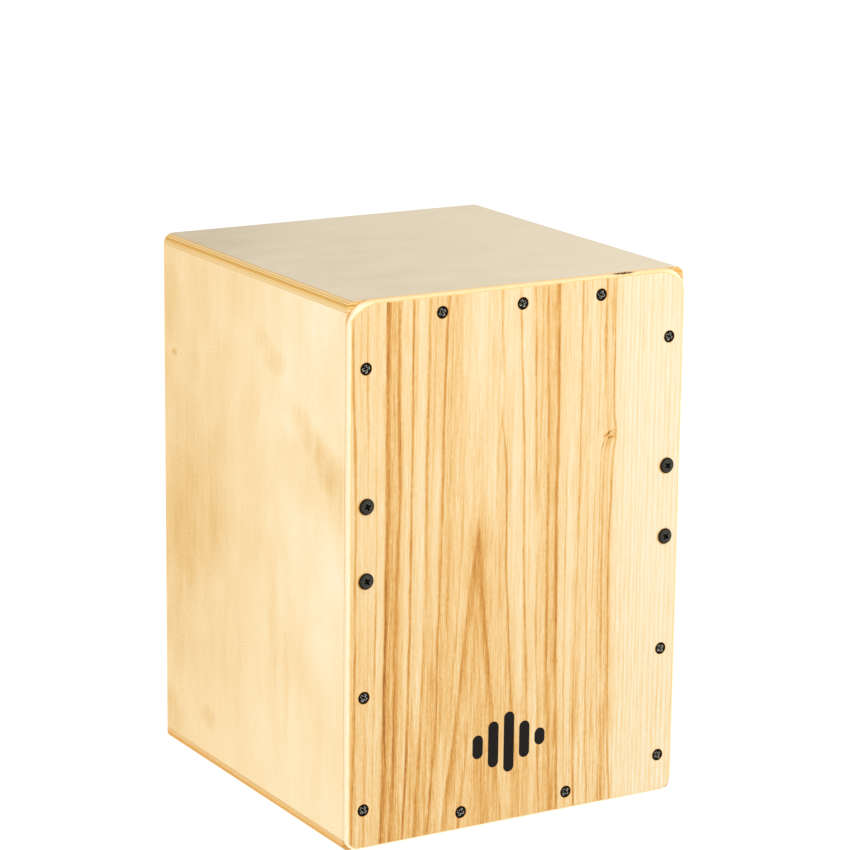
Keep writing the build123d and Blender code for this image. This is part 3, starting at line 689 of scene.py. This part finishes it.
give("front_plate", front_plate_material())
give("top_panel", plywood_material(
    "birch_top", "x", "y", lambda place: BOX_HEIGHT_MM - place["z"], 20.0, TOP_PAINTED_SHADE,
    colours=TOP_COLOURS, seen=TOP_SEEN, gloss=0.22))
give("bottom_panel", plywood_material(
    "birch_bottom", "x", "y", lambda place: place["z"], 40.0, edge_brown=(0.55, 0.65), gloss=0.12))
give("left_side_panel", plywood_material(
    "birch_left", "z", "y", lambda place: place["x"] + HALF_WIDTH_MM, 60.0, LEFT_DRIFTS_AND_SHADE, LEFT_STAINS))
give("right_side_panel", plywood_material(
    "birch_right", "z", "y", lambda place: HALF_WIDTH_MM - place["x"], 80.0))
give("back_panel", plywood_material(
    "birch_back", "z", "x", lambda place: REAR_MM - place["y"], 100.0, shade=0.12, thin=1.7))


# ---- solid wood inside ----
def solid_wood_material(name, along, size, colours, seed):
    """Sawn solid wood: rings of size millimetres, stretched along one axis, with end grain."""
    material, tree, shader = new_material(name)
    place = dict(zip("xyz", box_axes(tree)))
    rings = noise(*stretched(place, along, size * 60, size), detail=3.0, roughness=0.6, seed=seed)
    fibres = noise(*stretched(place, along, 30.0, 0.5), detail=3.0, seed=seed + 1)
    saw = noise(*stretched(place, along, 3.0, 14.0), seed=seed + 2)
    colour = ramp(rings * 0.7 + fibres * 0.3, colours)
    colour = mix(saw * 0.4, colour, linear(colours[0][1]), "MULTIPLY")
    surface(shader, colour, fibres * 0.2 + 0.6, fibres + saw * 0.8, 0.12)
    return material


PINE = ((0.3, (214, 164, 102)), (0.48, (240, 204, 146)), (0.62, (250, 222, 170)), (0.8, (232, 188, 126)))
BEECH = ((0.3, (186, 134, 92)), (0.5, (210, 162, 118)), (0.7, (224, 182, 138)))


# ---- metals, paint and rubber ----
SHADOW = (0.003, 0.003, 0.003)
BARE_STEEL = (0.5, 0.47, 0.4)


def painted_screw_material(name, colour, roughness, gloss, wear):
    """Blackened steel: patchy, with painted shade round the rim and in the driver recess, and rubbed bare
    where drivers touched it.
    """
    material, tree, shader = new_material(name)
    x, y, z = axes_mm(tree)
    patchy = noise(x / 1.4, y / 1.4, z / 1.4, detail=4.0, seed=140.0)
    speck = noise(x / 1.1, y / 1.1, z / 1.1, seed=141.0)
    bare = smooth(speck + painted(tree, "recess_edge") * 0.5, 0.82, 0.94) * wear
    # painted shade: the rim and the driver recess are darkened towards black and lose their reflection, for
    # the shade that falls there
    shadow = (painted(tree, "rim") * 0.9).math("MAXIMUM", painted(tree, "hollow") * 0.95)
    dark = tuple(part * 0.6 for part in colour)
    base = mix(shadow, mix(patchy, dark, colour), SHADOW)
    bare = bare * (1.0 - painted(tree, "hollow"))
    feed(shader.inputs["Metallic"], bare * 0.8)
    feed(shader.inputs["Specular IOR Level"], (1.0 - shadow) * gloss)
    surface(shader, mix(bare, base, BARE_STEEL), patchy * 0.2 + (roughness - 0.1), patchy, 0.04)
    return material


def metal_material(name, colour, roughness, streak_axis):
    """Bare metal with fine marks along one axis, slightly uneven in tone."""
    material, tree, shader = new_material(name)
    place = dict(zip("xyz", axes_mm(tree)))
    lines = noise(*stretched(place, streak_axis, 9.0, 0.25), detail=3.0, seed=150.0)
    cloud = noise(*stretched(place, streak_axis, 6.0, 6.0), seed=151.0)
    dull = tuple(part * 0.72 for part in colour)
    shader.inputs["Metallic"].default_value = 1.0
    colour = mix(lines * 0.6 + cloud * 0.4, dull, colour)
    surface(shader, colour, lines * 0.2 + (roughness - 0.1), lines, 0.015)
    return material


RUBBER_BLACK = (0.018, 0.018, 0.018)
RUBBER_DUST = (0.075, 0.07, 0.062)


def rubber_material():
    """Moulded black rubber with a faint dusty bloom."""
    material, tree, shader = new_material("foot_rubber")
    x, y, z = axes_mm(tree)
    pebble = noise(x / 0.5, y / 0.5, z / 0.5, seed=160.0)
    dust = noise(x / 8, y / 8, z / 3, detail=4.0, seed=161.0)
    surface(shader, mix(dust * 0.5, RUBBER_BLACK, RUBBER_DUST), dust * 0.2 + 0.6, pebble, 0.06)
    return material


pine = {axis: solid_wood_material("pine_" + axis, axis, 3.0, PINE, 120.0) for axis in "xz"}
for node in nodes:
    if "batten" in node:
        give(node, pine["x" if node.endswith(("top", "bottom")) else "z"])
beech = {axis: solid_wood_material("beech_" + axis, axis, 2.2, BEECH, 130.0) for axis in "xz"}
give("snare_beam", beech["x"])
give("snare_block_left", beech["z"])
give("snare_block_right", beech["z"])

black = painted_screw_material("black_screw", (0.005, 0.005, 0.004), 0.2, 0.07, 1.0)
charcoal = painted_screw_material("charcoal_screw", (0.034, 0.031, 0.021), 0.5, 0.25, 0.1)
give("threaded_inserts", metal_material("brass", (0.78, 0.58, 0.26), 0.35, "y"))
steel = metal_material("snare_steel", (0.66, 0.66, 0.65), 0.3, "x")
zinc = metal_material("zinc", (0.6, 0.61, 0.62), 0.38, "x")
for node in ("snare_plate_left", "snare_plate_right"):
    give(node, steel)
give("foot_washers", zinc)
rubber = rubber_material()
for node in ("foot_front_left", "foot_rear_left", "foot_front_right", "foot_rear_right"):
    give(node, rubber)


# ---- screws ----
# All sizes in millimetres, head up, with the bearing surface of a round head at height 0.
Screw = namedtuple("Screw", "head crown edge bearing cone shank core length pitch plain tip recess")
WOOD_SCREW = Screw(4.5, 0.0, -0.15, -0.5, 2.4, 2.1, 1.45, 22.0, 1.9, 5.5, 3.0, (5.2, 1.4, 2.3))
TRUSS_SCREW = Screw(5.8, 1.8, 0.6, 0.0, 0.0, 2.5, 2.05, 22.0, 0.8, 0.4, 0.8, (5.8, 2.0, 1.9))
SNARE_SCREW = Screw(2.6, 1.0, 0.7, 0.0, 0.0, 1.25, 0.85, 10.0, 1.1, 0.6, 2.0, (3.0, 0.75, 1.0))
FOOT_SCREW = Screw(3.5, 1.0, 0.7, 0.0, 0.0, 1.75, 1.2, 11.0, 1.4, 0.6, 2.8, (4.0, 1.0, 1.0))
HEAD_SIDES = 72
FLAT_RINGS = 5          # rings of points between a recess and its head's rim
RIM_RINGS = 3           # and round the rim
SHANK_SIDES = 24
RECESS_STEP = 0.12      # between the rings of points in a recess
RECESS_EASE = 0.2       # how wide the eased edge of a recess is
RECESS_HUB = 0.8        # radius of the round middle of a recess, for an arm 1 wide
RECESS_TAPER = 2.0      # how much deeper a wing gets for each step inwards
RECESS_WALL = 0.1       # where that starts, beyond the wing's end
EDGE_WEAR = 0.45        # how far wear reaches from the edge of a recess
RIM_EASE = 0.22         # rounding of a head's rim
# the rim darkening set here is painted shade on each head's edge
RIM_FROM = 0.8          # where the dark rim starts, for a head of radius 1
RIM_FADE = 0.12         # how far on from there it is darkest
THREAD_STEPS = 6        # rings of points for each turn of a thread
THREAD_SLOPE = 3.2      # how steep its ridge is
POINT_BLUNT = 0.08      # how thick the point stays, for a shank 1 thick


def inside_recess(recess, x, y):
    """How far inside the outline of the driver cross a point is; negative outside."""
    span, arm, _ = recess
    x, y = abs(x), abs(y)
    wings = max(min(span / 2 - x, arm / 2 - y), min(span / 2 - y, arm / 2 - x))
    return max(wings, arm * RECESS_HUB - math.hypot(x, y))


def recess_depth(recess, x, y):
    """How far below the head's surface the driver recess is at a point."""
    span, _, depth = recess
    inside = inside_recess(recess, x, y)
    if inside <= 0:
        return 0.0
    eased = min(inside / RECESS_EASE, 1.0)
    slope = RECESS_TAPER * (span / 2 + RECESS_WALL - math.hypot(x, y))
    return min(depth, slope) * eased * eased * (3 - 2 * eased)


def head_rings(kind):
    """The rings of points on top of a screw's head, from near its middle out to its rim."""
    span = kind.recess[0]
    fine = int(span / 2 / RECESS_STEP) + 1
    flat = kind.head - RIM_EASE
    radii = [RECESS_STEP * (index + 1) for index in range(fine)]
    gap = (flat - radii[-1]) / FLAT_RINGS
    radii += [radii[-1] + gap * (index + 1) for index in range(FLAT_RINGS)]
    rings = []
    for radius in radii:
        height = kind.edge + kind.crown * (1 - (radius / flat) ** 2)
        ring = plain_ring(radius, height, HEAD_SIDES)
        rings.append([Vector((x, y, z - recess_depth(kind.recess, x, y))) for x, y, z in ring])
    for step in range(1, RIM_RINGS + 1):
        ease = step * math.pi / 2 / RIM_RINGS
        radius = flat + RIM_EASE * math.sin(ease)
        rings.append(plain_ring(radius, kind.edge - RIM_EASE * (1 - math.cos(ease)), HEAD_SIDES))
    rings.append(plain_ring(kind.head, kind.bearing, HEAD_SIDES))
    rings.append(plain_ring(kind.shank, kind.bearing - kind.cone, HEAD_SIDES))
    return rings


def plain_ring(radius, height, sides):
    """A level ring of points round the screw's axis."""
    angles = [side * math.tau / sides for side in range(sides)]
    return [Vector((radius * math.cos(angle), radius * math.sin(angle), height)) for angle in angles]


def shank_rings(kind):
    """The rings of points from under the head down to the point, with the thread winding round."""
    neck = kind.bearing - kind.cone
    rings = [plain_ring(kind.shank, neck, SHANK_SIDES)]
    thread_top, end = neck - kind.plain, -kind.length
    rings.append(plain_ring(kind.shank, thread_top, SHANK_SIDES))
    steps = int((thread_top - end) / (kind.pitch / THREAD_STEPS))
    for step in range(1, steps + 1):
        height = thread_top + (end - thread_top) * step / steps
        taper = min(1.0, (height - end) / kind.tip + POINT_BLUNT)
        ring = []
        for side in range(SHANK_SIDES):
            angle = side * math.tau / SHANK_SIDES
            phase = (height / kind.pitch + side / SHANK_SIDES) % 1.0
            ridge = max(0.0, 1.0 - abs(phase - 0.5) * THREAD_SLOPE)
            radius = (kind.core + (kind.shank - kind.core) * ridge) * taper
            ring.append(Vector((radius * math.cos(angle), radius * math.sin(angle), height)))
        rings.append(ring)
    return rings


def skin(mesh, rings, place):
    """Joins rings of equally many points into one surface and closes both of its ends.
    Returns its points beside the places they came from."""
    made = [[mesh.verts.new(place @ (point * MM)) for point in ring] for ring in rings]
    for first, second in zip(made, made[1:]):
        for side in range(len(first)):
            after = (side + 1) % len(first)
            mesh.faces.new((first[side], second[side], second[after], first[after]))
    for ring in (made[0], made[-1]):
        middle = mesh.verts.new(sum((vert.co for vert in ring), Vector()) / len(ring))
        for side in range(len(ring)):
            mesh.faces.new((middle, ring[side], ring[(side + 1) % len(ring)]))
    return [pair for ring, verts in zip(rings, made) for pair in zip(ring, verts)]


def new_object(name, data):
    """Puts an object with this mesh, light or camera into the scene."""
    made = bpy.data.objects.new(name, data)
    bpy.context.scene.collection.objects.link(made)
    return made


def new_piece(name, mesh, material, node):
    """Turns a bmesh into a visible piece that stands for a CAD node."""
    bmesh.ops.recalc_face_normals(mesh, faces=mesh.faces)
    data = bpy.data.meshes.new(name)
    mesh.to_mesh(data)
    mesh.free()
    data.materials.append(material)
    piece = new_object(name, data)
    data.shade_smooth()
    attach(piece, "root")
    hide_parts(node)


def screw_piece(name, node, kind, head_axis, material, turns=()):
    """All the screws of one CAD node, with their heads along head_axis, each at its own turn."""
    chance = random.Random(name)
    facing = Vector(head_axis).to_track_quat("Z", "Y").to_matrix().to_4x4()
    head_top = (kind.edge + kind.crown) * MM
    mesh = bmesh.new()
    # each point carries how near the recess edge it is, for wear, and how far it is into the rim and into
    # the recess, for painted shade
    recess_edge = mesh.verts.layers.float.new("recess_edge")
    rim = mesh.verts.layers.float.new("rim")
    hollow = mesh.verts.layers.float.new("hollow")
    for index, (low, high) in enumerate(solids(node)):
        middle = (low + high) / 2
        for axis in range(3):
            if head_axis[axis]:
                outer = high[axis] if head_axis[axis] > 0 else low[axis]
                middle[axis] = outer - head_axis[axis] * head_top
        turn = turns[index] if turns else chance.uniform(0, 90)
        place = Matrix.Translation(middle) @ facing @ Matrix.Rotation(math.radians(turn), 4, "Z")
        for point, vert in skin(mesh, head_rings(kind), place):
            inside = inside_recess(kind.recess, point.x, point.y) / EDGE_WEAR
            vert[recess_edge] = math.exp(-inside * inside)
            vert[hollow] = min(max(inside * 2.0, 0.0), 1.0)
            out = math.hypot(point.x, point.y) / kind.head
            vert[rim] = min(max((out - RIM_FROM) / RIM_FADE, 0.0), 1.0)
        skin(mesh, shank_rings(kind), place)
    new_piece(name, mesh, material, node)


TRUSS_TURNS = (30, 25, 55, 40)
screw_piece("plate_screws", "front_plate_screws", WOOD_SCREW, (0, -1, 0), black)
screw_piece("truss_screws", "snare_block_screws", TRUSS_SCREW, (0, -1, 0), charcoal,
            TRUSS_TURNS)
screw_piece("snare_screws", "snare_plate_screws", SNARE_SCREW, (0, 0, 1), zinc)
screw_piece("feet_screws", "foot_screws", FOOT_SCREW, (0, 0, -1), zinc)


# ---- snare wires, coiled ----
WIRES_PER_SET = 10
COIL_PITCH = 1.25 * MM
WIRE_THICKNESS = 0.5 * MM
COIL_STEPS = 9          # points in one turn
WIRE_SIDES = 5


def coil(mesh, middle, low_z, high_z, coil_radius, phase):
    """Adds one closed, coiled wire that stands upright at middle."""
    turns = (high_z - low_z) / COIL_PITCH
    count = int(turns * COIL_STEPS)
    thin = WIRE_THICKNESS / 2
    rings = []
    for step in range(count + 1):
        angle = phase + step * math.tau / COIL_STEPS
        outward = Vector((math.cos(angle), math.sin(angle), 0.0))
        centre = Vector((middle.x, middle.y, low_z + (high_z - low_z) * step / count))
        centre += outward * (coil_radius - thin)
        ring = []
        for side in range(WIRE_SIDES):
            turn = side * math.tau / WIRE_SIDES
            offset = outward * math.cos(turn) + Vector((0, 0, 1)) * math.sin(turn)
            ring.append(mesh.verts.new(centre + offset * thin))
        rings.append(ring)
    for first, second in zip(rings, rings[1:]):
        for side in range(WIRE_SIDES):
            after = (side + 1) % WIRE_SIDES
            mesh.faces.new((first[side], first[after], second[after], second[side]))
    mesh.faces.new(list(reversed(rings[0])))
    mesh.faces.new(rings[-1])


def snare_set(side):
    """The ten coiled wires of one snare set."""
    low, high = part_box("snare_wires_" + side)
    radius = (high.y - low.y) / 2
    first_x, last_x = low.x + radius, high.x - radius
    thin = WIRE_THICKNESS / 2
    chance = random.Random("snare " + side)
    mesh = bmesh.new()
    for index in range(WIRES_PER_SET):
        x = first_x + (last_x - first_x) * index / (WIRES_PER_SET - 1)
        middle = Vector((x, (low.y + high.y) / 2, 0.0))
        coil(mesh, middle, low.z + thin, high.z - thin, radius, chance.uniform(0, math.tau))
    new_piece("snare_coils_" + side, mesh, steel, "snare_wires_" + side)


for side in ("left", "right"):
    snare_set(side)

# ---- camera ----
CAMERA_PLACE = Vector((-1.2410, -2.1217, 0.8820))
CAMERA_YAW, CAMERA_PITCH, CAMERA_ROLL = (math.radians(angle) for angle in (30.435, 13.881, 0.642))
CAMERA_LENS = 143.35
SENSOR_WIDTH = 36.0

forward = Vector((
    math.sin(CAMERA_YAW) * math.cos(CAMERA_PITCH),
    math.cos(CAMERA_YAW) * math.cos(CAMERA_PITCH),
    -math.sin(CAMERA_PITCH),
))
level = Vector((math.cos(CAMERA_YAW), -math.sin(CAMERA_YAW), 0.0))
above = level.cross(forward)
camera_right = level * math.cos(CAMERA_ROLL) + above * math.sin(CAMERA_ROLL)
camera_up = above * math.cos(CAMERA_ROLL) - level * math.sin(CAMERA_ROLL)
turn = Matrix((camera_right, camera_up, -forward)).transposed()
lens = bpy.data.cameras.new("camera")
lens.lens = CAMERA_LENS
lens.sensor_width = SENSOR_WIDTH
lens.clip_end = 100.0
camera = new_object("camera", lens)
camera.matrix_world = Matrix.Translation(CAMERA_PLACE) @ turn.to_4x4()
bpy.context.scene.camera = camera

# ---- floor and light ----
FLOOR_HALF = 30.0
FLOOR_GLOW = 0.93
FLOOR_GREYS = ((0.11, 0.11, 0.11), (0.13, 0.13, 0.13))
floor_mesh = bpy.data.meshes.new("floor")
corners = [(x * FLOOR_HALF, y * FLOOR_HALF, 0.0) for x, y in ((-1, -1), (1, -1), (1, 1), (-1, 1))]
floor_mesh.from_pydata(corners, [], [(0, 1, 2, 3)])
floor = new_object("floor", floor_mesh)
floor_material, floor_tree, floor_shader = new_material("studio_floor")
floor_x, floor_y, _ = axes(floor_tree)
floor_cloud = noise(floor_x * 3.0, floor_y * 3.0, seed=170.0)
feed(floor_shader.inputs["Base Color"], mix(floor_cloud, *FLOOR_GREYS))
floor_shader.inputs["Roughness"].default_value = 0.9
feed(floor_shader.inputs["Emission Color"], WHITE)
floor_shader.inputs["Emission Strength"].default_value = FLOOR_GLOW
floor_mesh.materials.append(floor_material)

world = bpy.data.worlds.new("studio")
bpy.context.scene.world = world
world.use_nodes = True
SKY_LIGHT = 0.74        # what the sky lights with
SKY_SEEN = 1.02         # how bright it is behind the object
background = world.node_tree.nodes["Background"]
feed(background.inputs["Color"], WHITE)
seen = Wire(world.node_tree, world.node_tree.nodes.new("ShaderNodeLightPath").outputs["Is Camera Ray"])
feed(background.inputs["Strength"], seen * (SKY_SEEN - SKY_LIGHT) + SKY_LIGHT)


def soft_light(name, place, target, size, power):
    """A square soft box that looks at target."""
    lamp = bpy.data.lights.new(name, "AREA")
    lamp.shape = "SQUARE"
    lamp.size = size
    lamp.energy = power
    hung = new_object(name, lamp)
    hung.location = place
    hung.rotation_euler = (Vector(target) - Vector(place)).to_track_quat("-Z", "Y").to_euler()


soft_light("key_light", (1.6, -2.8, 1.9), (0.0, 0.0, 0.2), 0.7, 25.0)
soft_light("top_light", (0.4, -0.7, 1.35), (0.0, 0.0, 0.3), 0.6, 3.2)
soft_light("side_light", (-2.0, -1.6, 1.3), (0.0, 0.0, 0.25), 1.2, 8.0)

bpy.context.scene.view_settings.view_transform = "Standard"
bpy.context.scene.view_settings.look = "None"
